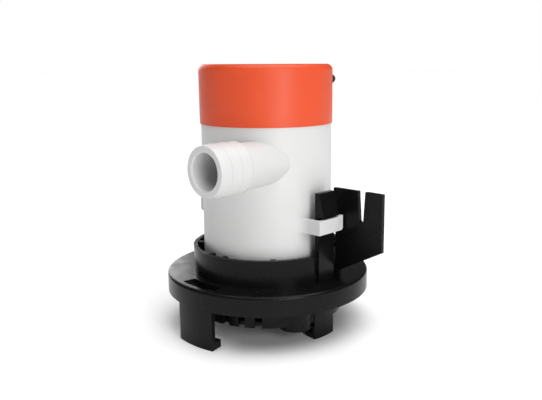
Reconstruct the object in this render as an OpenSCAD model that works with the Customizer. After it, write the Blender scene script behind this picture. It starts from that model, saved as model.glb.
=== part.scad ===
// Submersible bilge pump with a twist-lock strainer base.
// The pump axis is Z. The feet stand on the plane z = 0, and the outlet points to -Y.
// Azimuths are measured round Z from +X.

/* [Strainer base] */
// Width of the flange outside the collar
flange_w = 10.7; // [9:0.1:14]
// Height of the flange's top face over the feet
flange_z = 23; // [22:0.5:30]
// Height of the rim under the flange's top face
rim_h = 7.6; // [5:0.1:10]
// Thickness of the flange, the rim and the base's other walls
base_wall = 2; // [1.2:0.1:2.4]
// Radius of the edge round the top of the rim
rim_fillet = 1.2; // [0.2:0.1:1.6]
// Width of the seat in the base that carries the housing
seat_w = 6; // [4:0.1:8]
// Height of the collar round the pump over the flange
collar_h = 10.2; // [6:0.1:14]
// Thickness of the collar
collar_wall = 1.6; // [1:0.1:2.4]
// Gap between the pump and the inside of the collar
collar_gap = 2.8; // [2.3:0.05:3.6]
// Width of the locating ribs inside the collar
collar_rib_w = 2; // [1:0.1:3]
// How far the locating ribs stop below the collar's rim
collar_rib_drop = 0.3; // [0.2:0.1:2]
// Depth of the intake ring below the flange's top face
intake_depth = 15.9; // [12:0.1:18]
// Height of the intake slots at the bottom of the ring
intake_slot_h = 4; // [2:0.1:4.4]
// Width of an intake slot
intake_slot_w = 2.8; // [1:0.1:3]
// Angle from one intake slot to the next
intake_pitch = 12.5; // [10:0.5:15]
// Thickness of the grille that closes the intake ring from below
grille_t = 1.4; // [1:0.1:2]
// Height of the grille over the lower edge of the intake ring
grille_rise = 0.4; // [0:0.1:1]
// Width of the slots in the grille
grille_slot_w = 1.8; // [1:0.1:2]
// Radius of the round bosses under the flange
boss_r = 6.2; // [5:0.1:6.6]
// How far the round bosses reach below the intake ring
boss_drop = 2.1; // [0.5:0.1:3]

/* [Feet] */
// How far the two outer feet stand inside the flange's rim
outer_foot_inset = 0.6; // [0.1:0.1:2]
// Half of the angle that an outer foot spans
outer_foot_half = 13.5; // [8:0.5:18]
// How far the hook of an outer foot reaches inwards
outer_hook = 5.5; // [3:0.1:6]
// Half of the angle that an inner foot spans
inner_foot_half = 10.4; // [6:0.1:14]
// How far the hook of an inner foot reaches inwards
inner_hook = 6; // [3:0.1:7]
// Height of the hook of an outer foot
outer_hook_h = 3; // [2:0.1:4]
// Height of the hook of an inner foot
inner_hook_h = 2; // [1.5:0.1:4]

/* [Twist lock] */
// Width of a locking post
post_w = 8.8; // [7:0.1:11]
// Thickness of a locking post
post_t = 2; // [1.6:0.1:2.4]
// Height of the ramp on top of a post's barb
barb_h = 9.15; // [6:0.05:12]
// How far the barb of a post stands out
barb_out = 2.4; // [1.5:0.1:2.6]
// Distance from the housing's side to the outer face of a hook
hook_reach = 8; // [7.6:0.1:9]
// Thickness of a hook's strap
hook_t = 1.4; // [1:0.1:1.7]
// Height of a hook's strap
hook_h = 5.5; // [4:0.1:7]
// Height of a hook's lower edge over the flange
hook_z = 19.2; // [17:0.1:22]
// Gap between a post's side and the arm of its hook
hook_side_gap = 1.1; // [0.7:0.1:2]
// Height of the detent nib at the free end of a strap
nib_h = 0.35; // [0.1:0.05:0.4]
// Gap between a barb and the strap below it
barb_gap = 0.75; // [0.65:0.05:1.5]

/* [Lead clip] */
// Distance from the housing's side to the outer edge of the clip
clip_reach = 25.4; // [22:0.1:31]
// Thickness of the clip plate
clip_t = 1.6; // [1:0.1:2.4]
// Gap between the end of a hook and the clip plate
clip_gap = 1.1; // [0.6:0.1:2]
// Distance from the clip's outer edge to the middle of the notch
notch_inset = 9.5; // [7:0.1:12]
// Width of the notch at the top
notch_top_w = 3.6; // [2.5:0.1:5]
// Width of the notch at the bottom
notch_low_w = 1.9; // [1:0.1:2.4]
// Depth of the notch
notch_h = 11; // [6:0.1:14]

/* [Pump housing] */
// Radius of the pump housing
housing_r = 26; // [24:0.1:32]
// Thickness of the housing wall
housing_wall = 2.6; // [2.2:0.05:3.2]
// Height of the housing from the flange to the cap
housing_h = 59.15; // [49:0.01:71]
// Height of the spigot that the cap fits over
spigot_h = 5; // [4.4:0.1:8]
// Radius of the suction eye in the inlet plate
eye_r = 8; // [5:0.1:10]
// Thickness of the inlet plate
inlet_plate_t = 2; // [1.6:0.1:2.6]
// Length of the suction snout below the inlet plate
snout_h = 7; // [4:0.1:9]

/* [Outlet] */
// Radius of the outlet's bore
outlet_bore_r = 6.65; // [5:0.01:8]
// Length of the outlet's bore at its full radius
outlet_bore_l = 20; // [10:0.5:21]
// Thickness of the plain part of the outlet
outlet_wall = 1.85; // [1.4:0.05:2.2]
// Height of the barbs over the plain part of the outlet
outlet_barb = 1; // [0.6:0.05:1.2]
// How far the plain part of the outlet lies inside the housing's side
outlet_inset = 2.5; // [2:0.1:6]
// Distance from the housing's front to the outlet's mouth
outlet_reach = 19.3; // [17:0.1:30]
// Distance from the cap down to the outlet's axis
outlet_drop = 13.25; // [11:0.05:20]
// Distance from one barb to the next
barb_pitch = 4.8; // [3:0.1:5.2]

/* [Cap] */
// How far the cap stands out over the housing
cap_over = 0.34; // [0.1:0.02:0.6]
// Height of the cap
cap_h = 22.85; // [19:0.01:30]
// Thickness of the cap
cap_wall = 1.5; // [1.2:0.05:1.8]
// Radius of the round edge on top of the cap
cap_fillet = 2.4; // [0.5:0.1:4]
// Azimuth of the cable gland
gland_azimuth = 50; // [30:1:80]
// Height of the gland over the cap's lower edge
gland_h = 17; // [12:0.1:18]
// Radius of the gland outside the cap
gland_r = 1.7; // [1.7:0.1:2.5]

/* [Motor capsule] */
// Gap between the motor and the sealed capsule round it
capsule_gap = 0.8; // [0.3:0.1:1.2]
// Thickness of the capsule wall
capsule_wall = 1.8; // [1.4:0.1:2]
// Thickness of the capsule's floor
capsule_floor = 2; // [1.6:0.1:3]

/* [Motor] */
// Radius of the motor can
can_r = 15; // [13:0.1:18]
// Thickness of the motor can
can_wall = 1.2; // [0.8:0.1:1.4]
// Length of the motor can
can_h = 38; // [32:0.1:45]
// Thickness of a magnet
magnet_t = 2.3; // [1.8:0.1:2.4]
// Angle that a magnet spans
magnet_angle = 130; // [100:1:150]
// Radius of the motor shaft
shaft_r = 1.5; // [1.3:0.05:1.8]
// Thickness of the bushings
bushing_wall = 1.5; // [1:0.1:1.8]
// Length of the bushings
bushing_h = 4; // [3:0.1:4.5]
// Air gap between the armature and the magnets
air_gap = 0.4; // [0.3:0.05:0.7]
// Length of the commutator
commutator_h = 3.8; // [3.6:0.1:5]
// Width of an armature pole's arm
pole_w = 4.2; // [3:0.1:5]
// Thickness of a winding
winding_t = 1.8; // [1:0.1:2]
// Thickness of the commutator round the shaft
commutator_t = 1.7; // [1.2:0.1:2]
// Width of a brush
brush_w = 3; // [2:0.1:3.4]
// Radius of the suppression capacitor
capacitor_r = 3.4; // [2:0.1:4]
// Radius of an insulated power lead
lead_r = 0.75; // [0.5:0.05:0.8]

/* [Impeller] */
// Radius of the impeller
impeller_r = 16; // [12:0.1:20]
// Height of the impeller's vanes
vane_h = 5.5; // [3:0.1:7]
// Thickness of a vane
vane_t = 1.4; // [1:0.1:2]
// Number of vanes
vane_count = 5; // [3:1:7]
// Thickness of the impeller's disc
disc_t = 1.2; // [0.8:0.1:1.6]
// Gap between the vanes and the inlet plate
vane_gap = 1.15; // [0.5:0.05:2]
// Gap between the impeller and the boss of the shaft seal
boss_gap = 1; // [0.5:0.1:2]

/* [Clearances] */
// Gap between pieces that turn past one another
move_gap = 0.35; // [0.3:0.05:0.5]
// Running clearance between the shaft and its bushings
run_gap = 0.03; // [0.02:0.01:0.08]
// Gap between pieces that are fitted into one another
fit_gap = 0.05; // [0.02:0.01:0.1]

/* [Hidden] */
$fn = 96;
// Overshoot of cutting solids past the faces that they cut
cut = 1;

// Radii that the housing sets
collar_in = housing_r + collar_gap;
collar_out = collar_in + collar_wall;
flange_r = collar_out + flange_w;
suction_r = housing_r - seat_w;
hook_face = housing_r + hook_reach;
clip_r = housing_r + clip_reach;
notch_r = clip_r - notch_inset;
cap_r = housing_r + cap_over;
bore_r = housing_r - housing_wall;

// Heights over the feet
rim_z = flange_z - rim_h;
intake_z = flange_z - intake_depth;
boss_z = intake_z - boss_drop;
housing_z = flange_z + move_gap;
housing_top = flange_z + housing_h;
spigot_top = housing_top + spigot_h;
cap_top = housing_top + cap_h;
strap_z = flange_z + hook_z;
strap_top = strap_z + hook_h;
barb_z = strap_top + barb_gap;
post_top = barb_z + barb_h;

// Collar, intake ring, bosses and feet
collar_ribs = [for (side = [0, 180]) for (angle = [-49, -7.5, 7.5, 49]) side + 90 + angle];
intake_out = collar_out + 0.2;
intake_in = intake_out - collar_wall;
slot_angles = [for (side = [0, 180]) for (i = [-3, -2, -1, 1, 2, 3]) side + 90 + i * intake_pitch];
boss_centre = intake_in - 2.8;
boss_angles = [-22, 158];
inner_foot_r = intake_out + 0.4;
outer_foot_r = flange_r - outer_foot_inset;
foot_slot = 5;
underside_ribs = 12;
grille_slots = 16;
grille_slot_in = 8;
grille_slot_out = intake_in - 10;

// Twist lock: posts and hooks on +X and -X
post_out = hook_face - barb_out;
post_in = post_out - post_t;
nib_w = 2.7;
strap_in = hook_face - hook_t;
hook_half = post_w / 2 + hook_side_gap + hook_t;
clip_side = hook_half + clip_gap;
strap_corner = 1.2;
arm_fillet = 5;
clip_in = housing_r + 2.4;
clip_foot = collar_out;
clip_low = 12.6;
clip_heel = 1.7;
clip_step = [17, 22];
clip_rise = 0.3;

// Housing and cap
cap_in = cap_r - cap_wall;
spigot_out = cap_in - fit_gap;
lip_r = bore_r - 2;
lip_h = 1.2;
inlet_z = housing_z + lip_h;
chamber_z = inlet_z + inlet_plate_t;
mouth_chamfer = 0.4;
outlet_height = housing_top - outlet_drop;
outlet_root_r = outlet_bore_r + outlet_wall;
barb_r = outlet_root_r + outlet_barb;
outlet_tip_r = barb_r - 0.45;
barb_back = 0.1;
outlet_x = housing_r - outlet_inset - outlet_root_r;
outlet_y = housing_r + outlet_reach;
outlet_core_r = outlet_bore_r - 0.2;
gland_height = housing_top + gland_h;

// Motor capsule: its flange hangs from the top of the housing's spigot
seal_boss_h = 2.6;
vane_z = chamber_z + vane_gap;
disc_z = vane_z + vane_h;
impeller_top = disc_z + disc_t;
capsule_bottom = impeller_top + boss_gap + seal_boss_h;
capsule_seat = capsule_bottom + capsule_floor;
capsule_in = can_r + capsule_gap;
capsule_r = capsule_in + capsule_wall;
capsule_plug_h = 4.4;
capsule_lip_h = 1.2;
capsule_plug_r = bore_r - fit_gap;
capsule_top = spigot_top + capsule_lip_h;
seal_section = 1.6;
seal_depth = 1.3;
capsule_seal_z = spigot_top - capsule_plug_h / 2;
capsule_fin_h = 14;
capsule_fins = [45, 135, 225, 315];
seal_pocket_r = 4.6;
seal_boss_r = 6.4;
seal_h = 2.4;
retainer_t = 0.5;
screw_ring = can_r - 5.5;
screw_r = 1.2;
screw_head_r = 2.2;
screw_head_h = 1.4;
screw_reach = 3;
screw_angles = [0, 180];

// Motor
can_z = capsule_seat + fit_gap;
can_top = can_z + can_h;
can_in = can_r - can_wall;
bushing_r = shaft_r + bushing_wall;
commutator_r = shaft_r + commutator_t;
can_boss_r = bushing_r + 1.2;
can_boss_h = bushing_h + 0.4;
lower_bushing_z = can_z;
core_z = can_z + can_boss_h + 1.8;
magnet_z = core_z - 2;
magnet_out = can_in - fit_gap;
magnet_in = magnet_out - magnet_t;
core_r = magnet_in - air_gap;
core_hub_r = pole_w / 2 + 2.4;
shoe_t = 1.9;
shoe_angle = 98;
insulator_t = 0.5;
winding_in = core_hub_r + 0.2;
winding_out = sqrt(pow(core_r - shoe_t, 2) - pow(pole_w / 2 + winding_t, 2)) - 0.1;
winding_end = insulator_t + winding_t;
bell_t = 2.4;
bell_z = can_top - bell_t;
washer_t = 0.4;
washer_gap = 0.3;
commutator_z = bell_z - washer_t - 2 * washer_gap - commutator_h;
core_top = commutator_z - washer_gap - winding_end;
core_h = core_top - core_z;
magnet_h = core_h + 4;
bell_boss_r = bushing_r + 1.3;
upper_bushing_z = bell_z;
shaft_top = upper_bushing_z + bushing_h + 0.6;
brush_z = commutator_z + commutator_h / 2;
brush_in = commutator_r + 0.12;
brush_l = 4;
brush_h = 2.4;
holder_wall = 0.6;
holder_out = brush_in + brush_l + 1.6;
spring_t = 0.3;
terminal_x = can_in - 3.6;
terminal_t = 0.6;
terminal_w = 2.8;
terminal_top = can_top + 8;
terminal_z = brush_z - brush_h / 2;

// Impeller and shaft
hub_r = shaft_r + 2;
hub_z = vane_z + 1;
clip_ring_h = 0.8;
clip_ring_r = shaft_r + 1.3;
shaft_z = hub_z - clip_ring_h - 0.9;
vane_in = hub_r + 1.6;

// Capacitor and leads above the motor
capacitor_t = 2;
capacitor_z = terminal_top - 1;
wire_r = 0.3;
lead_side = lead_r + 0.1;
gland_flange_r = gland_r + 1;
gland_flange_t = 1;
gland_out = 1.6;
gland_seat = sqrt(pow(cap_in, 2) - pow(gland_flange_r, 2)) - fit_gap;
gland_in = gland_seat - gland_flange_t;

// Solid ring between two radii
module ring(outer, inner, height) {
    difference() {
        cylinder(r = outer, h = height);
        translate([0, 0, -cut]) cylinder(r = inner, h = height + 2 * cut);
    }
}

// Sector of a ring that spans half an angle each way of an azimuth
module sector(outer, inner, height, azimuth, half) {
    rotate([0, 0, azimuth - half])
        rotate_extrude(angle = 2 * half)
            translate([inner, 0]) square([outer - inner, height]);
}

// Pieces that repeat on the opposite side of the pump
module both_sides() {
    children();
    rotate([0, 0, 180]) children();
}

// Cylinder that points outwards along an azimuth at a height
module radial_cylinder(azimuth, height, from, to, radius, side = 0) {
    rotate([0, 0, azimuth])
        translate([from, side, height])
            rotate([0, 90, 0]) cylinder(r = radius, h = to - from);
}

// Flat flange with its rim, rounded along the top edge
module flange() {
    rotate_extrude()
        difference() {
            union() {
                translate([suction_r, rim_z]) square([flange_r - suction_r - rim_fillet, rim_h]);
                translate([suction_r, rim_z]) square([flange_r - suction_r, rim_h - rim_fillet]);
                translate([flange_r - rim_fillet, flange_z - rim_fillet]) circle(r = rim_fillet, $fn = 48);
            }
            translate([suction_r - cut, rim_z - cut])
                square([flange_r - base_wall - suction_r + cut, rim_h - base_wall + cut]);
        }
}

// Ring under the flange, with a row of open slots between the feet
module intake_ring() {
    difference() {
        translate([0, 0, intake_z]) ring(intake_out, intake_in, flange_z - base_wall - intake_z + fit_gap);
        for (azimuth = slot_angles)
            rotate([0, 0, azimuth])
                translate([intake_in - cut, -intake_slot_w / 2, intake_z - cut])
                    cube([collar_wall + 2 * cut, intake_slot_w, intake_slot_h + cut]);
    }
}

// Round bosses and radial ribs that stiffen the flange from below
module underside() {
    for (azimuth = boss_angles)
        rotate([0, 0, azimuth]) translate([boss_centre, 0, boss_z])
            ring(boss_r, boss_r - collar_wall, flange_z - base_wall - boss_z + fit_gap);
    for (i = [0 : underside_ribs - 1])
        rotate([0, 0, (i + 0.5) * 360 / underside_ribs])
            translate([intake_out - collar_wall / 2, -base_wall / 4, rim_z + 1])
                cube([flange_r - base_wall - intake_out + collar_wall, base_wall / 2,
                      rim_h - base_wall - 1 + fit_gap]);
}

// Outer feet on the Y axis and inner feet on the X axis, each hooked inwards
module feet() {
    both_sides() {
        sector(outer_foot_r, outer_foot_r - base_wall, flange_z - base_wall + fit_gap, 90, outer_foot_half);
        sector(outer_foot_r, outer_foot_r - outer_hook, outer_hook_h, 90, outer_foot_half);
        sector(inner_foot_r, inner_foot_r - base_wall, flange_z - base_wall + fit_gap, 0, inner_foot_half);
        sector(inner_foot_r, inner_foot_r - inner_hook, inner_hook_h, 0, inner_foot_half);
    }
}

// Collar round the pump, with its locating ribs
module collar() {
    translate([0, 0, flange_z - base_wall]) ring(collar_out, collar_in, collar_h + base_wall);
    for (azimuth = collar_ribs)
        rotate([0, 0, azimuth])
            translate([housing_r + move_gap, -collar_rib_w / 2, flange_z - base_wall / 2])
                cube([collar_gap - move_gap + collar_wall / 2, collar_rib_w,
                      collar_h + base_wall / 2 - collar_rib_drop]);
}

// Locking post with a barb that hooks over the pump's strap
module post() {
    rotate([90, 0, 0])
        translate([0, 0, -post_w / 2])
            linear_extrude(post_w)
                polygon([[post_in, flange_z - base_wall / 2], [post_out, flange_z - base_wall / 2],
                         [post_out, barb_z], [hook_face, barb_z], [post_out, post_top],
                         [post_in, post_top]]);
}

// Upright plate with a tapered notch that holds the pump's lead
module lead_clip() {
    top = post_top + clip_rise;
    notch_z = top - notch_h;
    translate([0, clip_side + clip_t, 0])
        rotate([90, 0, 0])
            linear_extrude(clip_t)
                difference() {
                    polygon([[clip_foot, flange_z - base_wall / 2], [clip_foot, flange_z + clip_heel],
                             [clip_r, flange_z + clip_low], [clip_r, top], [clip_in, top],
                             [clip_in, flange_z + clip_step[1]], [clip_foot - 1, flange_z + clip_step[0]],
                             [clip_foot - 1, flange_z - base_wall / 2]]);
                    polygon([[notch_r - notch_top_w / 2, top + cut], [notch_r - notch_low_w / 2, notch_z],
                             [notch_r + notch_low_w / 2, notch_z], [notch_r + notch_top_w / 2, top + cut]]);
                    translate([notch_r, notch_z]) circle(r = notch_low_w / 2, $fn = 32);
                }
}

module strainer_base() {
    color("#1c1c1e") {
        difference() {
            union() {
                flange();
                feet();
            }
            both_sides()
                translate([0, 0, flange_z - base_wall - cut])
                    sector(outer_foot_r - base_wall, outer_foot_r - base_wall - foot_slot,
                           base_wall + 2 * cut, 90, outer_foot_half);
        }
        intake_ring();
        underside();
        collar();
        both_sides() post();
        lead_clip();
    }
}

// Slotted disc pressed into the bottom of the intake ring
module strainer_grille() {
    color("#1c1c1e")
        translate([0, 0, intake_z + grille_rise])
            difference() {
                cylinder(r = intake_in - fit_gap, h = grille_t);
                for (azimuth = boss_angles)
                    rotate([0, 0, azimuth])
                        translate([boss_centre, 0, -cut])
                            cylinder(r = boss_r + fit_gap, h = grille_t + 2 * cut);
                for (i = [0 : grille_slots - 1])
                    rotate([0, 0, (i + 0.5) * 360 / grille_slots])
                        translate([grille_slot_in, -grille_slot_w / 2, -cut])
                            cube([grille_slot_out - grille_slot_in, grille_slot_w, grille_t + 2 * cut]);
            }
}

// Open hook that passes under a post's barb when the pump is turned home
module hook() {
    translate([strap_in, -hook_half, strap_z])
        difference() {
            cube([hook_t, 2 * hook_half, hook_h]);
            translate([-cut, 2 * hook_half - strap_corner, -cut])
                difference() {
                    cube([hook_t + 2 * cut, strap_corner + cut, strap_corner + cut]);
                    translate([0, 0, strap_corner + cut])
                        rotate([0, 90, 0]) cylinder(r = strap_corner, h = hook_t + 2 * cut, $fn = 48);
                }
        }
    translate([strap_in, hook_half - nib_w, strap_z + hook_h - nib_h])
        cube([hook_t, nib_w, 2 * nib_h]);
    translate([bore_r + 1, -hook_half, strap_z])
        cube([strap_in - bore_r - 1 + fit_gap, hook_t, hook_h]);
    translate([0, 0, strap_z]) linear_extrude(hook_h) arm_root();
}

// Round flare where a hook's arm runs into the housing
module arm_root() {
    side_y = -hook_half - arm_fillet;
    centre = [sqrt(pow(housing_r + arm_fillet, 2) - pow(side_y, 2)), side_y];
    touch = centre * (housing_r - 1) / norm(centre);
    difference() {
        polygon([[centre[0], -hook_half + fit_gap], centre, touch, [touch[0], -hook_half + fit_gap]]);
        translate(centre) circle(r = arm_fillet);
    }
}

// Outline of the outlet from its axis outwards, with the mouth at the given length
function outlet_profile(length) = concat(
    [[0, 0], [outlet_root_r, 0], [outlet_root_r, length - 3 * barb_pitch]],
    [for (i = [3 : -1 : 1]) each [[barb_r, length - i * barb_pitch + barb_back],
                                  [outlet_tip_r, length - (i - 1) * barb_pitch]]],
    [[0, length]]);

// Waterway through the housing's wall and along the outlet
module outlet_passage() {
    translate([outlet_x, -6, outlet_height])
        rotate([90, 0, 0]) cylinder(r = outlet_core_r, h = outlet_y);
}

// Barbed spout that stands on the housing's wall at a tangent
module outlet_barb() {
    color("#ececea")
        difference() {
            translate([outlet_x, 0, outlet_height])
                rotate([90, 0, 0])
                    rotate_extrude() polygon(outlet_profile(outlet_y));
            translate([0, 0, housing_z]) cylinder(r = housing_r + fit_gap, h = housing_top - housing_z);
            outlet_passage();
            translate([outlet_x, mouth_chamfer + outlet_bore_l - outlet_y, outlet_height])
                rotate([90, 0, 0]) cylinder(r = outlet_bore_r, h = outlet_bore_l);
            translate([outlet_x, -outlet_y + mouth_chamfer, outlet_height])
                rotate([90, 0, 0])
                    cylinder(r1 = outlet_bore_r, r2 = outlet_bore_r + 2 * mouth_chamfer,
                             h = 2 * mouth_chamfer);
        }
}

module pump_housing() {
    color("#ececea") {
        difference() {
            union() {
                translate([0, 0, housing_z]) cylinder(r = housing_r, h = housing_top - housing_z);
                translate([0, 0, housing_z]) cylinder(r = spigot_out, h = spigot_top - housing_z);
                both_sides() hook();
            }
            translate([0, 0, inlet_z]) cylinder(r = bore_r, h = spigot_top - inlet_z + cut);
            translate([0, 0, housing_z - cut]) cylinder(r = lip_r, h = lip_h + 2 * cut);
            outlet_passage();
        }
    }
}

// Floor of the pump chamber, with the suction eye and its snout
module inlet_plate() {
    color("#d8d8d4")
        difference() {
            union() {
                translate([0, 0, inlet_z + fit_gap])
                    cylinder(r = bore_r - fit_gap, h = inlet_plate_t - fit_gap);
                translate([0, 0, inlet_z - snout_h]) cylinder(r = eye_r + 1.5, h = snout_h + 1);
            }
            translate([0, 0, inlet_z - snout_h - cut])
                cylinder(r = eye_r, h = snout_h + inlet_plate_t + 2 * cut);
        }
}

module top_cap() {
    color("#e4552c")
        difference() {
            rotate_extrude()
                difference() {
                    union() {
                        translate([0, housing_top + fit_gap]) square([cap_r, cap_h - cap_fillet - fit_gap]);
                        translate([0, housing_top + fit_gap]) square([cap_r - cap_fillet, cap_h - fit_gap]);
                        translate([cap_r - cap_fillet, cap_top - cap_fillet])
                            circle(r = cap_fillet, $fn = 48);
                    }
                    translate([-cut, 0]) square([cap_in + cut, cap_top - cap_wall - 0.5]);
                    translate([-cap_r, 0]) square([cap_r, cap_top + cut]);
                }
            radial_cylinder(gland_azimuth, gland_height, cap_in - cut, cap_r + cut, gland_r + fit_gap);
        }
}

// Flat gasket clamped between the capsule's lip and the inside of the cap
module cap_seal() {
    color("#303030")
        translate([0, 0, capsule_top + fit_gap]) ring(cap_in - fit_gap, cap_in - 3, 1.2);
}

module cable_gland() {
    color("#141414") {
        radial_cylinder(gland_azimuth, gland_height, gland_in, gland_seat, gland_flange_r);
        radial_cylinder(gland_azimuth, gland_height, gland_in, cap_r + 0.6, gland_r);
        rotate([0, 0, gland_azimuth])
            translate([cap_r + gland_out - gland_r, 0, gland_height])
                rotate([0, 90, 0])
                    intersection() {
                        sphere(r = gland_r);
                        cylinder(r = gland_r, h = gland_r + cut);
                    }
    }
}

// Two insulated leads that rise from the terminals and turn to the gland
module power_leads() {
    for (side = [-1, 1])
        color(side > 0 ? "#6b3a1e" : "#161616") {
            foot = [side * terminal_x, 0, terminal_top + fit_gap];
            entry = [gland_in - fit_gap, side * -lead_side];
            turn = [entry[0] * cos(gland_azimuth) - entry[1] * sin(gland_azimuth),
                    entry[0] * sin(gland_azimuth) + entry[1] * cos(gland_azimuth)];
            run = turn - [foot[0], foot[1]];
            translate(foot) cylinder(r = lead_r, h = gland_height - foot[2], $fn = 32);
            translate([foot[0], foot[1], gland_height]) sphere(r = lead_r, $fn = 32);
            translate([foot[0], foot[1], gland_height])
                rotate([0, 0, atan2(run[1], run[0])])
                    rotate([0, 90, 0]) cylinder(r = lead_r, h = norm(run) - lead_r, $fn = 32);
        }
}

// Sealed cup that hangs in the housing and keeps the water off the motor
module motor_capsule() {
    color("#c9c9c5")
        difference() {
            union() {
                translate([0, 0, capsule_bottom]) cylinder(r = capsule_r, h = capsule_top - capsule_bottom);
                translate([0, 0, capsule_bottom - seal_boss_h])
                    cylinder(r = seal_boss_r, h = seal_boss_h + cut);
                translate([0, 0, spigot_top - capsule_plug_h])
                    cylinder(r = capsule_plug_r, h = capsule_plug_h + fit_gap);
                translate([0, 0, spigot_top + fit_gap])
                    cylinder(r = cap_in - fit_gap, h = capsule_lip_h - fit_gap);
                for (azimuth = capsule_fins)
                    rotate([0, 0, azimuth])
                        translate([capsule_r - cut, -0.7, capsule_bottom])
                            cube([bore_r - capsule_r + cut - 0.2, 1.4, capsule_fin_h]);
            }
            translate([0, 0, capsule_seat]) cylinder(r = capsule_in, h = capsule_top - capsule_seat + cut);
            translate([0, 0, capsule_bottom - seal_boss_h - cut])
                cylinder(r = seal_pocket_r, h = seal_boss_h + cut + 0.4);
            translate([0, 0, capsule_bottom - cut]) cylinder(r = shaft_r + 0.5, h = capsule_floor + 2 * cut);
            translate([0, 0, capsule_seal_z - seal_section * 0.6])
                ring(capsule_plug_r + cut, capsule_plug_r - seal_depth, seal_section * 1.2);
            for (azimuth = screw_angles)
                rotate([0, 0, azimuth])
                    translate([screw_ring, 0, capsule_bottom - cut])
                        cylinder(r = screw_r + fit_gap, h = capsule_floor + 2 * cut);
        }
}

// Seal round the capsule's plug, squeezed flat between the groove and the housing
module capsule_seal() {
    color("#202020")
        translate([0, 0, capsule_seal_z - seal_section / 2])
            ring(bore_r - 0.02, capsule_plug_r - seal_depth + fit_gap, seal_section);
}

module shaft_seal() {
    seal_top = capsule_bottom + 0.4 - fit_gap;
    color("#2a2a2a")
        difference() {
            translate([0, 0, seal_top - seal_h]) cylinder(r = seal_pocket_r - fit_gap, h = seal_h);
            translate([0, 0, seal_top - seal_h - cut]) cylinder(r = shaft_r + run_gap, h = seal_h + 2 * cut);
            translate([0, 0, seal_top - seal_h - cut]) cylinder(r = shaft_r + 1.4, h = seal_h - 0.8 + cut);
        }
}

module seal_retainer() {
    color("#b8bcc0")
        translate([0, 0, capsule_bottom - seal_boss_h])
            ring(seal_pocket_r - fit_gap, shaft_r + 0.6, retainer_t);
}

module motor_screws() {
    color("#c0c4c8")
        for (azimuth = screw_angles)
            rotate([0, 0, azimuth])
                translate([screw_ring, 0, 0])
                    difference() {
                        union() {
                            translate([0, 0, capsule_bottom - screw_head_h - fit_gap])
                                cylinder(r = screw_head_r, h = screw_head_h);
                            translate([0, 0, capsule_bottom - screw_head_h])
                                cylinder(r = screw_r, h = screw_head_h + capsule_floor + screw_reach);
                        }
                        translate([-screw_head_r, -0.3, capsule_bottom - screw_head_h - cut])
                            cube([2 * screw_head_r, 0.6, cut + 0.7]);
                    }
}

// Drawn steel cup of the motor, with a boss for the lower bushing
module motor_can() {
    color("#9aa0a6")
        difference() {
            translate([0, 0, can_z]) cylinder(r = can_r, h = can_h);
            difference() {
                translate([0, 0, can_z + can_wall]) cylinder(r = can_in, h = can_h);
                translate([0, 0, can_z]) cylinder(r = can_boss_r, h = can_boss_h);
            }
            translate([0, 0, can_z - cut]) cylinder(r = bushing_r + fit_gap, h = can_boss_h + 2 * cut);
            for (azimuth = screw_angles)
                rotate([0, 0, azimuth])
                    translate([screw_ring, 0, can_z - cut])
                        cylinder(r = screw_r + fit_gap, h = can_wall + 2 * cut);
        }
}

module magnets() {
    color("#3c3c40")
        for (azimuth = [90, 270])
            translate([0, 0, magnet_z]) sector(magnet_out, magnet_in, magnet_h, azimuth, magnet_angle / 2);
}

// Plastic cover of the motor, with the upper bushing's boss and two brush holders
module end_bell() {
    holder_w = brush_w + 2 * holder_wall;
    holder_h = bell_z + fit_gap - (brush_z - brush_h / 2 - holder_wall);
    color("#242428")
        difference() {
            union() {
                translate([0, 0, bell_z]) cylinder(r = can_in - fit_gap, h = bell_t);
                translate([0, 0, bell_z]) cylinder(r = bell_boss_r, h = bushing_h);
                for (side = [0, 180])
                    rotate([0, 0, side])
                        translate([brush_in + 0.6, -holder_w / 2, bell_z + fit_gap - holder_h])
                            cube([holder_out - brush_in - 0.6, holder_w, holder_h]);
            }
            translate([0, 0, bell_z - cut]) cylinder(r = bushing_r + fit_gap, h = bushing_h + 2 * cut);
            for (side = [0, 180])
                rotate([0, 0, side]) {
                    translate([brush_in, -brush_w / 2 - fit_gap, brush_z - brush_h / 2 - fit_gap])
                        cube([holder_out, brush_w + 2 * fit_gap, brush_h + 2 * fit_gap]);
                    translate([terminal_x - terminal_t / 2 - fit_gap, -terminal_w / 2 - fit_gap,
                               bell_z - cut])
                        cube([terminal_t + 2 * fit_gap, terminal_w + 2 * fit_gap, bell_t + 2 * cut]);
                }
        }
}

// Sintered bushing that the shaft turns in
module bushing(height) {
    translate([0, 0, height]) ring(bushing_r, shaft_r + run_gap, bushing_h);
}

module lower_bushing() {
    color("#b08a4a") bushing(lower_bushing_z);
}

module upper_bushing() {
    color("#b08a4a") bushing(upper_bushing_z);
}

module brushes() {
    color("#4a3a34")
        for (side = [0, 180])
            rotate([0, 0, side])
                translate([brush_in, -brush_w / 2, brush_z - brush_h / 2])
                    difference() {
                        cube([brush_l, brush_w, brush_h]);
                        translate([-brush_in, brush_w / 2, -cut])
                            cylinder(r = commutator_r + 0.12 + fit_gap, h = brush_h + 2 * cut);
                    }
}

// Bent leaf springs that press the brushes inwards from the terminals
module brush_springs() {
    color("#c89a3c")
        for (side = [0, 180])
            rotate([0, 0, side])
                translate([0, brush_w / 2 - 0.4, 0])
                    rotate([90, 0, 0])
                        linear_extrude(brush_w - 0.8)
                            polygon([[brush_in + brush_l + fit_gap, brush_z - 0.9],
                                     [brush_in + brush_l + fit_gap, brush_z + 0.9],
                                     [brush_in + brush_l + fit_gap + spring_t, brush_z + 0.9],
                                     [brush_in + brush_l + fit_gap + spring_t, brush_z - 0.6],
                                     [terminal_x - terminal_t / 2 - fit_gap, brush_z - 0.6],
                                     [terminal_x - terminal_t / 2 - fit_gap, brush_z - 0.9]]);
}

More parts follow.
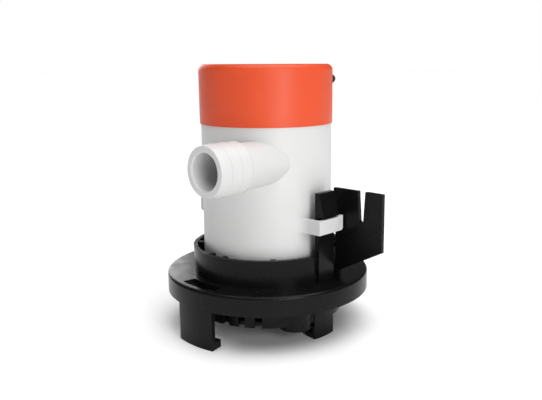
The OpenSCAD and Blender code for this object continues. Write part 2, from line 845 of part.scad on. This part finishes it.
module terminals() {
    color("#d6b25a")
        for (side = [-1, 1])
            translate([side * terminal_x - terminal_t / 2, -terminal_w / 2, terminal_z])
                cube([terminal_t, terminal_w, terminal_top - terminal_z]);
}

// Disc capacitor bridged across the terminals
module capacitor() {
    reach = terminal_x - terminal_t / 2 - fit_gap;
    color("#c8782c") {
        translate([0, capacitor_t / 2, capacitor_z])
            rotate([90, 0, 0]) cylinder(r = capacitor_r, h = capacitor_t);
        translate([-reach, 0, capacitor_z])
            rotate([0, 90, 0]) cylinder(r = wire_r, h = 2 * reach, $fn = 24);
    }
}

module motor_shaft() {
    color("#cfd3d6") translate([0, 0, shaft_z]) cylinder(r = shaft_r, h = shaft_top - shaft_z);
}

// Outline of the three-pole armature
module pole_outline() {
    difference() {
        union() {
            circle(r = core_hub_r);
            for (azimuth = [90, 210, 330])
                rotate(azimuth) {
                    translate([0, -pole_w / 2]) square([core_r - shoe_t / 2, pole_w]);
                    intersection() {
                        difference() {
                            circle(r = core_r);
                            circle(r = core_r - shoe_t);
                        }
                        polygon([[0, 0],
                                 [2 * core_r * cos(shoe_angle / 2), -2 * core_r * sin(shoe_angle / 2)],
                                 [2 * core_r * cos(shoe_angle / 2), 2 * core_r * sin(shoe_angle / 2)]]);
                    }
                }
        }
        circle(r = shaft_r + 0.01);
    }
}

module armature_core() {
    color("#7d8288") translate([0, 0, core_z]) linear_extrude(core_h) pole_outline();
}

module armature_insulators() {
    color("#2f7d4f")
        for (height = [core_z - insulator_t, core_top])
            translate([0, 0, height]) linear_extrude(insulator_t) pole_outline();
}

// One coil wound round each arm of the armature
module armature_windings() {
    color("#b5622c")
        for (azimuth = [90, 210, 330])
            rotate([0, 0, azimuth])
                translate([winding_in, 0, core_z + core_h / 2])
                    difference() {
                        translate([0, -pole_w / 2 - winding_t, -core_h / 2 - winding_end])
                            cube([winding_out - winding_in, pole_w + 2 * winding_t,
                                  core_h + 2 * winding_end]);
                        translate([-cut, -pole_w / 2 - 0.03, -core_h / 2 - insulator_t - 0.03])
                            cube([winding_out - winding_in + 2 * cut, pole_w + 0.06,
                                  core_h + 2 * insulator_t + 0.06]);
                    }
}

// Commutator: three copper segments on one sleeve
module commutator() {
    color("#c77b45")
        translate([0, 0, commutator_z])
            difference() {
                ring(commutator_r, shaft_r + 0.01, commutator_h);
                for (azimuth = [30, 150, 270])
                    rotate([0, 0, azimuth])
                        translate([commutator_r - 0.5, -0.2, -cut]) cube([1, 0.4, commutator_h + 2 * cut]);
            }
}

module thrust_washers() {
    color("#e6e2d0") {
        translate([0, 0, can_z + can_boss_h + washer_gap]) ring(bushing_r, shaft_r + 0.02, washer_t);
        translate([0, 0, bell_z - washer_gap - washer_t]) ring(bushing_r, shaft_r + 0.02, washer_t);
    }
}

// Open impeller: a disc with curved vanes on its suction side
module impeller() {
    arc_r = (impeller_r - vane_in) * 0.8;
    color("#3a3a3c")
        difference() {
            union() {
                translate([0, 0, disc_z]) cylinder(r = impeller_r, h = disc_t);
                translate([0, 0, hub_z]) cylinder(r = hub_r, h = impeller_top - hub_z);
                intersection() {
                    translate([0, 0, vane_z]) cylinder(r = impeller_r, h = vane_h + fit_gap);
                    for (i = [0 : vane_count - 1])
                        rotate([0, 0, i * 360 / vane_count])
                            translate([vane_in, arc_r, vane_z])
                                rotate([0, 0, -90])
                                    rotate_extrude(angle = 80)
                                        translate([arc_r - vane_t / 2, 0]) square([vane_t, vane_h + fit_gap]);
                }
            }
            translate([0, 0, vane_z - cut]) cylinder(r = shaft_r + 0.01, h = vane_h + disc_t + 2 * cut);
        }
}

module impeller_clip() {
    color("#b8bcc0")
        translate([0, 0, hub_z - clip_ring_h - 0.02]) ring(clip_ring_r, shaft_r + 0.01, clip_ring_h);
}

strainer_base();
strainer_grille();
pump_housing();
outlet_barb();
inlet_plate();
top_cap();
cap_seal();
cable_gland();
power_leads();
motor_capsule();
capsule_seal();
shaft_seal();
seal_retainer();
motor_screws();
motor_can();
magnets();
end_bell();
lower_bushing();
upper_bushing();
brushes();
brush_springs();
terminals();
capacitor();
motor_shaft();
armature_core();
armature_insulators();
armature_windings();
commutator();
thrust_washers();
impeller();
impeller_clip();
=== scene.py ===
import math

import bmesh
import bpy
from mathutils import Matrix, Vector


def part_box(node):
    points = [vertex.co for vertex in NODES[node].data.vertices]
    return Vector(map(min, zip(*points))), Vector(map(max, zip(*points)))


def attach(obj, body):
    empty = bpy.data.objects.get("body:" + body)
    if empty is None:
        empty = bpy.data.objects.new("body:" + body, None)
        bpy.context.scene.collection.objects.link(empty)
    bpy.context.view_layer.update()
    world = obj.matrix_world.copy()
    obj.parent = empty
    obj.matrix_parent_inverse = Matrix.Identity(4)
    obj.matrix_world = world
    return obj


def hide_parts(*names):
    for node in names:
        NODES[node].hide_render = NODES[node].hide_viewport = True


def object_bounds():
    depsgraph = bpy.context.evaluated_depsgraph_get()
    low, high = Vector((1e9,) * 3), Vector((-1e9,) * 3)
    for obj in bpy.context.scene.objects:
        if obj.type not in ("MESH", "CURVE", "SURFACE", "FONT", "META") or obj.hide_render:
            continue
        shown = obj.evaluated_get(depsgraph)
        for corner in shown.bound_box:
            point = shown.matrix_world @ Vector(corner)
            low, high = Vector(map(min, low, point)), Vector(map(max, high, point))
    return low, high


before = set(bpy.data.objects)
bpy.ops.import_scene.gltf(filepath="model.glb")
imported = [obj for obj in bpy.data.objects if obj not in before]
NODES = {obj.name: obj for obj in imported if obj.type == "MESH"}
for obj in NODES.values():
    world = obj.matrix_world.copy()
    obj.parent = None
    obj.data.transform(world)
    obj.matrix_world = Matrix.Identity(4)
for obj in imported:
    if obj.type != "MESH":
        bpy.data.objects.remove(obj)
cad_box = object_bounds()
MM = 0.001


# ---------------------------------------------------------------- shader building blocks
class Shading:
    """A new material with its Principled shader, and short ways to add textures in object space."""

    def __init__(self, name):
        self.material = bpy.data.materials.new(name)
        self.material.use_nodes = True
        self.nodes = self.material.node_tree.nodes
        self.links = self.material.node_tree.links
        self.shader = self.nodes["Principled BSDF"]
        self.place = self.nodes.new("ShaderNodeTexCoord").outputs["Object"]
        self.normal = None

    def scaled(self, scale):
        mapping = self.nodes.new("ShaderNodeMapping")
        mapping.inputs["Scale"].default_value = scale
        self.links.new(self.place, mapping.inputs["Vector"])
        return mapping.outputs["Vector"]

    def noise(self, scale, detail=3.0, place=None):
        texture = self.nodes.new("ShaderNodeTexNoise")
        texture.inputs["Scale"].default_value = scale
        texture.inputs["Detail"].default_value = detail
        self.links.new(place or self.place, texture.inputs["Vector"])
        return texture.outputs["Fac"]

    def bands(self, pitch, axis="Z", waver=0.0):
        texture = self.nodes.new("ShaderNodeTexWave")
        texture.wave_type = "BANDS"
        texture.bands_direction = axis
        texture.inputs["Scale"].default_value = math.pi / (10 * pitch)
        texture.inputs["Distortion"].default_value = waver
        self.links.new(self.place, texture.inputs["Vector"])
        return texture.outputs["Fac"]

    def cells(self, scale):
        texture = self.nodes.new("ShaderNodeTexVoronoi")
        texture.inputs["Scale"].default_value = scale
        self.links.new(self.place, texture.inputs["Vector"])
        return texture.outputs["Distance"]

    def maths(self, operation, value, number):
        """One step of arithmetic on a value, with a plain number or another value."""
        node = self.nodes.new("ShaderNodeMath")
        node.operation = operation
        self.links.new(value, node.inputs[0])
        if isinstance(number, float):
            node.inputs[1].default_value = number
        else:
            self.links.new(number, node.inputs[1])
        return node.outputs["Value"]

    def paint_crease_shade(self, start, pitch, count, width, shade):
        """Painted shade: darkens the colour in a thin line across Y at each of the pitches after the
        start, where a crease would fall into shade.
        """
        split = self.nodes.new("ShaderNodeSeparateXYZ")
        self.links.new(self.place, split.inputs["Vector"])
        along = self.maths("DIVIDE", self.maths("SUBTRACT", split.outputs["Y"], start), pitch)
        nearest = self.maths("SNAP", self.maths("ADD", along, 0.5), 1.0)
        nearest = self.maths("MAXIMUM", self.maths("MINIMUM", nearest, float(count)), 1.0)
        away = self.maths("SUBTRACT", along, nearest)
        away = self.maths("POWER", self.maths("MULTIPLY", away, away), 0.5)
        base = self.shader.inputs["Base Color"]
        plain = base.links[0].from_socket
        darkened = self.nodes.new("ShaderNodeVectorMath")
        darkened.operation = "SCALE"
        self.links.new(plain, darkened.inputs["Vector"])
        # Painted shade: this factor is the shade value in the middle of each line and 1 away from it.
        light = self.ranged(away, shade, 1.0, 0.0, width / (2 * pitch))
        self.links.new(light, darkened.inputs["Scale"])
        self.links.new(darkened.outputs["Vector"], base)

    def ranged(self, value, low, high, start=0.3, end=0.7):
        node = self.nodes.new("ShaderNodeMapRange")
        node.inputs["From Min"].default_value = start
        node.inputs["From Max"].default_value = end
        node.inputs["To Min"].default_value = low
        node.inputs["To Max"].default_value = high
        self.links.new(value, node.inputs["Value"])
        return node.outputs["Result"]

    def colour(self, value, first, second, start=0.3, end=0.7):
        ramp = self.nodes.new("ShaderNodeValToRGB")
        low, high = ramp.color_ramp.elements
        low.position, low.color = start, (*first, 1)
        high.position, high.color = end, (*second, 1)
        self.links.new(value, ramp.inputs["Fac"])
        self.links.new(ramp.outputs["Color"], self.shader.inputs["Base Color"])

    def rough(self, value, low, high):
        self.links.new(self.ranged(value, low, high), self.shader.inputs["Roughness"])

    def bump(self, height, distance, strength):
        node = self.nodes.new("ShaderNodeBump")
        node.inputs["Distance"].default_value = distance
        node.inputs["Strength"].default_value = strength
        self.links.new(height, node.inputs["Height"])
        if self.normal:
            self.links.new(self.normal, node.inputs["Normal"])
        self.normal = node.outputs["Normal"]
        self.links.new(self.normal, self.shader.inputs["Normal"])

    def fixed(self, **values):
        for socket, value in values.items():
            self.shader.inputs[socket.replace("_", " ")].default_value = value


def moulded(name, first, second, roughness, grain, specular=0.5, painted_crease_lines=None):
    """Injection-moulded plastic: faint flow marks, a fine mould grain and slightly rubbed patches.

    The painted crease lines are the start, pitch, count, width and shade of dark lines of painted shade
    across Y.
    """
    s = Shading(name)
    s.colour(s.noise(38.0, 2.0), first, second)
    s.rough(s.noise(160.0, 5.0), *roughness)
    s.bump(s.noise(60.0, 1.0), 0.0004, 0.1)
    s.bump(s.noise(2600.0, 2.0), 0.00002, grain)
    s.fixed(Specular_IOR_Level=specular)
    if painted_crease_lines:
        s.paint_crease_shade(*painted_crease_lines)
    return s.material


def rubber(name, first, second):
    """Moulded rubber with a dusty bloom and a fine, soft grain."""
    s = Shading(name)
    s.colour(s.noise(240.0, 6.0), first, second)
    s.rough(s.noise(420.0, 4.0), 0.55, 0.75)
    s.bump(s.noise(1800.0, 3.0), 0.00003, 0.35)
    s.fixed(Sheen_Weight=0.15, Sheen_Roughness=0.4, Specular_IOR_Level=0.3)
    return s.material


def drawn_metal(name, first, second, roughness, stretch):
    """Drawn or ground metal, with fine marks stretched one way."""
    s = Shading(name)
    marks = s.noise(1.0, 4.0, s.scaled(stretch))
    s.colour(s.noise(150.0, 3.0), first, second)
    s.rough(marks, *roughness)
    s.bump(marks, 0.00002, 0.25)
    s.fixed(Metallic=1.0)
    return s.material


def grainy(name, first, second, roughness, scale, depth, metallic=0.0):
    """Sintered, pressed or cast stock: specks and pores with a dull skin."""
    s = Shading(name)
    s.colour(s.cells(scale), first, second, 0.1, 0.6)
    s.rough(s.noise(scale / 3, 4.0), *roughness)
    s.bump(s.cells(scale), depth, 0.4)
    s.fixed(Metallic=metallic)
    return s.material


def laminated(name):
    """Stack of punched steel sheets: half-millimetre lines across the sides."""
    s = Shading(name)
    lines = s.bands(0.5 * MM, waver=0.3)
    s.colour(lines, (0.10, 0.10, 0.11), (0.36, 0.37, 0.39), 0.05, 0.4)
    s.rough(s.noise(900.0, 3.0), 0.35, 0.5)
    s.bump(lines, 0.00004, 0.5)
    s.fixed(Metallic=1.0)
    return s.material


def enamelled():
    """Copper wire under a clear amber enamel."""
    s = Shading("enamelled_copper")
    s.colour(s.noise(300.0, 3.0), (0.62, 0.20, 0.06), (0.72, 0.27, 0.10))
    s.rough(s.noise(700.0, 3.0), 0.22, 0.34)
    s.bump(s.noise(1500.0, 2.0), 0.00001, 0.3)
    s.fixed(Metallic=1.0, Coat_Weight=0.6, Coat_Roughness=0.1)
    return s.material


def segments():
    """Turned copper of the commutator, with fine turning marks in its roughness and relief."""
    s = Shading("turned_copper")
    turning = s.bands(0.08 * MM, waver=0.4)
    s.colour(s.noise(420.0, 3.0), (0.55, 0.23, 0.11), (0.70, 0.36, 0.20))
    s.rough(turning, 0.22, 0.38)
    s.bump(turning, 0.00001, 0.4)
    s.fixed(Metallic=1.0)
    return s.material


def insulation(name, first, second):
    """Extruded lead insulation, faintly ribbed along its run."""
    s = Shading(name)
    s.colour(s.noise(500.0, 3.0), first, second)
    s.rough(s.noise(900.0, 3.0), 0.38, 0.5)
    s.bump(s.noise(1.0, 3.0, s.scaled((2500, 2500, 120))), 0.00002, 0.3)
    return s.material


WHITE_LOOK = ((0.590, 0.590, 0.588), (0.618, 0.618, 0.614), (0.40, 0.50), 0.2, 0.4)
BARB_PITCH = 4.8 * MM
BARB_COUNT = 3
# Painted shade: width and darkness of the thin lines painted in the crease behind each barb of the
# outlet.
PAINTED_CREASE_WIDTH = 0.6 * MM
PAINTED_CREASE_SHADE = 0.35
SPOUT_MOUTH_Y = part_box("outlet_barb")[0][1]

BLACK = moulded("black_plastic", (0.0042, 0.0042, 0.0046), (0.0070, 0.0070, 0.0076),
                (0.20, 0.30), 0.2, 0.11)
WHITE = moulded("white_plastic", *WHITE_LOOK)
# The outlet's white plastic, with painted shade in the crease behind each barb.
BARBED_WITH_PAINTED_SHADE = moulded("barbed_white_plastic_painted_shade", *WHITE_LOOK,
                 (SPOUT_MOUTH_Y, BARB_PITCH, BARB_COUNT, PAINTED_CREASE_WIDTH, PAINTED_CREASE_SHADE))
PALE = moulded("pale_plastic", (0.56, 0.56, 0.545), (0.60, 0.60, 0.585), (0.42, 0.55), 0.3)
ORANGE = moulded("orange_plastic", (0.640, 0.066, 0.017), (0.680, 0.074, 0.020),
                 (0.40, 0.50), 0.2, 0.35)
GREY = moulded("impeller_plastic", (0.030, 0.030, 0.032), (0.045, 0.045, 0.048), (0.32, 0.45), 0.3)
DARK = moulded("end_bell_plastic", (0.018, 0.018, 0.020), (0.030, 0.030, 0.033), (0.40, 0.55), 0.35)
NYLON = moulded("nylon", (0.66, 0.62, 0.48), (0.72, 0.68, 0.55), (0.35, 0.5), 0.25)
SEAL = rubber("seal_rubber", (0.012, 0.012, 0.012), (0.030, 0.030, 0.029))
GLAND = rubber("gland_rubber", (0.008, 0.008, 0.008), (0.016, 0.016, 0.016))
STAINLESS = drawn_metal("stainless_steel", (0.55, 0.55, 0.54), (0.66, 0.66, 0.65),
                        (0.2, 0.36), (300, 300, 3000))
CAN = drawn_metal("zinc_plated_can", (0.50, 0.51, 0.53), (0.62, 0.63, 0.64),
                  (0.28, 0.45), (2200, 2200, 90))
SHAFT = drawn_metal("ground_shaft", (0.60, 0.61, 0.62), (0.70, 0.71, 0.72),
                    (0.12, 0.24), (400, 400, 6000))
BRASS = drawn_metal("rolled_brass", (0.62, 0.42, 0.16), (0.74, 0.53, 0.24),
                    (0.22, 0.36), (1800, 200, 1800))
BRONZE = grainy("sintered_bronze", (0.34, 0.20, 0.08), (0.55, 0.36, 0.17),
                (0.45, 0.6), 4200.0, 0.00002, 1.0)
FERRITE = grainy("ferrite", (0.030, 0.030, 0.033), (0.065, 0.064, 0.066),
                 (0.55, 0.75), 2600.0, 0.00002)
CARBON = grainy("copper_carbon", (0.045, 0.030, 0.024), (0.12, 0.070, 0.045),
                (0.5, 0.7), 5200.0, 0.00002)
CERAMIC = grainy("dipped_ceramic", (0.55, 0.19, 0.035), (0.62, 0.24, 0.055),
                 (0.25, 0.4), 900.0, 0.00001)
FIBRE = grainy("fibre_board", (0.035, 0.16, 0.075), (0.055, 0.23, 0.11),
               (0.5, 0.65), 3000.0, 0.00001)
LAMINATIONS = laminated("laminated_steel")
COPPER = segments()
WIRE = enamelled()
BROWN_LEAD = insulation("brown_insulation", (0.13, 0.045, 0.018), (0.17, 0.062, 0.026))
BLACK_LEAD = insulation("black_insulation", (0.010, 0.010, 0.010), (0.016, 0.016, 0.016))

FINISHES = {
    "strainer_base": BLACK, "strainer_grille": BLACK, "pump_housing": WHITE, "outlet_barb": BARBED_WITH_PAINTED_SHADE,
    "inlet_plate": WHITE, "top_cap": ORANGE, "cap_seal": SEAL, "cable_gland": GLAND,
    "power_leads": BLACK_LEAD, "motor_capsule": PALE, "capsule_seal": SEAL, "shaft_seal": SEAL,
    "seal_retainer": STAINLESS, "motor_screws": STAINLESS, "motor_can": CAN, "magnets": FERRITE,
    "end_bell": DARK, "lower_bushing": BRONZE, "upper_bushing": BRONZE, "brushes": CARBON,
    "brush_springs": BRASS, "terminals": BRASS, "capacitor": CERAMIC, "motor_shaft": SHAFT,
    "armature_core": LAMINATIONS, "armature_insulators": FIBRE, "armature_windings": WIRE,
    "commutator": COPPER, "thrust_washers": NYLON, "impeller": GREY, "impeller_clip": STAINLESS,
}


# ---------------------------------------------------------------- CAD nodes
EDGES = {"strainer_base": 0.22, "strainer_grille": 0.15, "pump_housing": 0.22, "outlet_barb": 0.12,
         "inlet_plate": 0.2, "top_cap": 0.15, "cable_gland": 0.15}
BORE_LIMIT = 7.8 * MM


def soften(node, radius):
    """Modifiers that round the mouldings' edges a little and keep flat faces flat."""
    weld = node.modifiers.new("weld", "WELD")
    weld.merge_threshold = 1e-6
    merge = node.modifiers.new("merge_flats", "DECIMATE")
    merge.decimate_type = "DISSOLVE"
    merge.angle_limit = math.radians(0.4)
    if radius:
        edge = node.modifiers.new("moulded_edges", "BEVEL")
        edge.width = radius * MM
        edge.segments = 2
        edge.limit_method = "ANGLE"
        edge.angle_limit = math.radians(38)
        edge.miter_outer = "MITER_ARC"
    split = node.modifiers.new("hard_edges", "EDGE_SPLIT")
    split.split_angle = math.radians(34)
    smooth = node.modifiers.new("flat_faces", "WEIGHTED_NORMAL")
    smooth.weight = 80


def dress_nodes():
    """Gives each CAD node its material, smooth shading and modifiers."""
    for name, node in NODES.items():
        mesh = node.data
        mesh.materials.clear()
        mesh.materials.append(FINISHES[name])
        mesh.polygons.foreach_set("use_smooth", [True] * len(mesh.polygons))
        if "custom_normal" in mesh.attributes:
            mesh.attributes.remove(mesh.attributes["custom_normal"])
        soften(node, EDGES.get(name, 0))
    colour_bore()
    colour_leads()


def colour_bore():
    """The bore of the outlet has no barb steps, so its faces take the plain white without the painted
    crease shade.
    """
    spout = NODES["outlet_barb"].data
    spout.materials.append(WHITE)
    low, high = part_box("outlet_barb")
    axis_x, axis_z = (low[0] + high[0]) / 2, (low[2] + high[2]) / 2
    for face in spout.polygons:
        from_axis = math.hypot(face.center.x - axis_x, face.center.z - axis_z)
        face.material_index = 1 if from_axis < BORE_LIMIT else 0


def colour_leads():
    """The leads run on either side of a line from the pump's axis to the gland: one brown, one black."""
    leads = NODES["power_leads"].data
    leads.materials.append(BROWN_LEAD)
    low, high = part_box("cable_gland")
    to_gland = Vector((low[0] + high[0], low[1] + high[1]))
    for face in leads.polygons:
        face.material_index = 1 if to_gland.cross(face.center.xy) < 0 else 0


# ---------------------------------------------------------------- wound wire
WIRE_SIDES = 8
CORNER_STEPS = 4
WIRE_LAYERS = 8


def add_turn(mesh, place, half_width, half_height, corner, radius):
    """One closed turn of round wire: a tube along a rectangle whose corners are rounded outwards."""
    rings = []
    for quarter, (side, end) in enumerate(((1, 1), (-1, 1), (-1, -1), (1, -1))):
        for step in range(CORNER_STEPS + 1):
            angle = (quarter + step / CORNER_STEPS) * math.pi / 2
            ring = []
            for point in range(WIRE_SIDES):
                around = math.tau * point / WIRE_SIDES
                reach = corner + radius * math.cos(around)
                ring.append(mesh.verts.new(place @ Vector((
                    radius * math.sin(around),
                    side * half_width + reach * math.cos(angle),
                    end * half_height + reach * math.sin(angle)))))
            rings.append(ring)
    for first, second in zip(rings, rings[1:] + rings[:1]):
        for point in range(WIRE_SIDES):
            after = (point + 1) % WIRE_SIDES
            mesh.faces.new((first[point], first[after], second[after], second[point]))


def wind_armature():
    """Turns of round wire on each arm of the armature, within the windings' plain solids."""
    low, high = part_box("armature_windings")
    arm = [v.co for v in NODES["armature_windings"].data.vertices if v.co.y > high[1] / 2]
    inner = min(co.y for co in arm)
    hole = min(abs(co.x) for co in arm)
    thickness = max(co.x for co in arm) - hole
    half_height = (high[2] - low[2]) / 2 - thickness
    middle = (low[2] + high[2]) / 2
    pitch = (high[1] - inner) / WIRE_LAYERS
    turns = int(thickness / pitch)
    mesh = bmesh.new()
    for azimuth in (90, 210, 330):
        turned = Matrix.Rotation(math.radians(azimuth), 4, "Z")
        for layer in range(WIRE_LAYERS):
            place = turned @ Matrix.Translation((inner + (layer + 0.5) * pitch, 0, middle))
            shown = turns if layer in (0, WIRE_LAYERS - 1) else 1
            for turn in range(shown):
                corner = thickness - (turn + 0.5) * pitch
                add_turn(mesh, place, hole, half_height, corner, pitch / 2)
    bmesh.ops.recalc_face_normals(mesh, faces=mesh.faces)
    data = bpy.data.meshes.new("wound_wire")
    mesh.to_mesh(data)
    mesh.free()
    data.polygons.foreach_set("use_smooth", [True] * len(data.polygons))
    data.materials.append(WIRE)
    wire = bpy.data.objects.new("wound_wire", data)
    bpy.context.collection.objects.link(wire)
    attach(wire, "rotor")
    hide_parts("armature_windings")


# ---------------------------------------------------------------- camera
TURN = Matrix.Rotation(math.radians(45), 3, "Z")
VIEWPOINT = Vector((0.19059, -0.19059, 0.104797))
YAW, PITCH, ROLL = 0.046559, 0.19954, 0.0039824
FOCAL_LENGTH = 44.565
SIDE_SHIFT = -0.049815


def add_camera():
    """The photograph's viewpoint, fitted to the pump's outline. Its angles are in the turned frame."""
    lens = bpy.data.cameras.new("camera")
    lens.lens = FOCAL_LENGTH
    lens.sensor_width = 36.0
    lens.sensor_fit = "HORIZONTAL"
    lens.shift_x = SIDE_SHIFT
    lens.clip_start = 0.01
    camera = bpy.data.objects.new("camera", lens)
    bpy.context.collection.objects.link(camera)
    ahead = Vector((math.sin(YAW) * math.cos(PITCH),
                    math.cos(YAW) * math.cos(PITCH),
                    -math.sin(PITCH)))
    level = Vector((math.cos(YAW), -math.sin(YAW), 0))
    right = math.cos(ROLL) * level + math.sin(ROLL) * ahead.cross(level)
    right, ahead = TURN @ right, TURN @ ahead
    basis = Matrix((right, right.cross(ahead), -ahead)).transposed().to_4x4()
    camera.matrix_world = Matrix.Translation(VIEWPOINT) @ basis
    bpy.context.scene.camera = camera


# ---------------------------------------------------------------- floor and light
FLOOR_REACH = 8
FLOOR_SHADES = ((0.96, 0.96, 0.96), (0.98, 0.98, 0.98))
OVERHEAD_POWER = 3.25
OVERHEAD_SPREAD = math.radians(70)
OVERHEAD_WAY = Vector((-0.12, 0.1, -1))
FRONT_GLOW, REAR_GLOW = 0.04, 0.12
AIM = Vector((0, 0, 0.05))


def add_floor():
    """Plain pale floor that reaches past what the camera sees."""
    s = Shading("floor")
    s.colour(s.noise(3.0), *FLOOR_SHADES)
    s.rough(s.noise(9.0), 0.7, 0.8)
    s.fixed(Specular_IOR_Level=0.05)
    mesh = bpy.data.meshes.new("floor")
    far = FLOOR_REACH
    mesh.from_pydata([(-far, -far, 0), (far, -far, 0), (far, far, 0), (-far, far, 0)], [], [(0, 1, 2, 3)])
    mesh.materials.append(s.material)
    floor = bpy.data.objects.new("floor", mesh)
    floor.location.z = cad_box[0][2]
    bpy.context.collection.objects.link(floor)


def add_softbox(name, azimuth, height, distance, size, power):
    """Rectangular softbox, with its azimuth measured to the right of the camera's side of the pump."""
    data = bpy.data.lights.new(name, "AREA")
    data.shape = "RECTANGLE"
    data.size, data.size_y = size
    data.energy = power
    light = bpy.data.objects.new(name, data)
    angle = math.radians(azimuth)
    place = TURN @ Vector((distance * math.sin(angle), -distance * math.cos(angle), height))
    light.location = place
    light.visible_camera = False
    light.rotation_euler = (AIM - place).to_track_quat("-Z", "Y").to_euler()
    bpy.context.collection.objects.link(light)


def add_overhead():
    """Very soft overhead light that keeps the floor evenly pale as far as it reaches."""
    data = bpy.data.lights.new("overhead", "SUN")
    data.energy = OVERHEAD_POWER
    data.angle = OVERHEAD_SPREAD
    light = bpy.data.objects.new("overhead", data)
    light.rotation_euler = (TURN @ OVERHEAD_WAY).to_track_quat("-Z", "Y").to_euler()
    bpy.context.collection.objects.link(light)


def add_world():
    """White surroundings to look at, and a gentle light that comes mostly from behind the object."""
    world = bpy.data.worlds.new("world")
    world.use_nodes = True
    nodes = world.node_tree.nodes
    links = world.node_tree.links
    side = nodes.new("ShaderNodeVectorMath")
    side.operation = "DOT_PRODUCT"
    side.inputs[1].default_value = TURN @ Vector((0, 1, 0))
    links.new(nodes.new("ShaderNodeTexCoord").outputs["Generated"], side.inputs[0])
    share = nodes.new("ShaderNodeMapRange")
    share.inputs["From Max"].default_value = 0.8
    share.inputs["To Min"].default_value = FRONT_GLOW
    share.inputs["To Max"].default_value = REAR_GLOW
    links.new(side.outputs["Value"], share.inputs["Value"])
    seen = nodes.new("ShaderNodeMix")
    links.new(nodes.new("ShaderNodeLightPath").outputs["Is Camera Ray"], seen.inputs["Factor"])
    links.new(share.outputs["Result"], seen.inputs["A"])
    seen.inputs["B"].default_value = 1.0
    links.new(seen.outputs["Result"], nodes["Background"].inputs["Strength"])
    nodes["Background"].inputs["Color"].default_value = (1, 1, 1, 1)
    bpy.context.scene.world = world


dress_nodes()
wind_armature()
add_camera()
add_floor()
add_softbox("key", azimuth=27, height=0.2, distance=0.7, size=(0.3, 0.45), power=2.75)
add_softbox("back", azimuth=203, height=0.3, distance=1.0, size=(0.5, 0.35), power=2.2)
add_overhead()
add_world()
bpy.context.scene.view_settings.view_transform = "Standard"
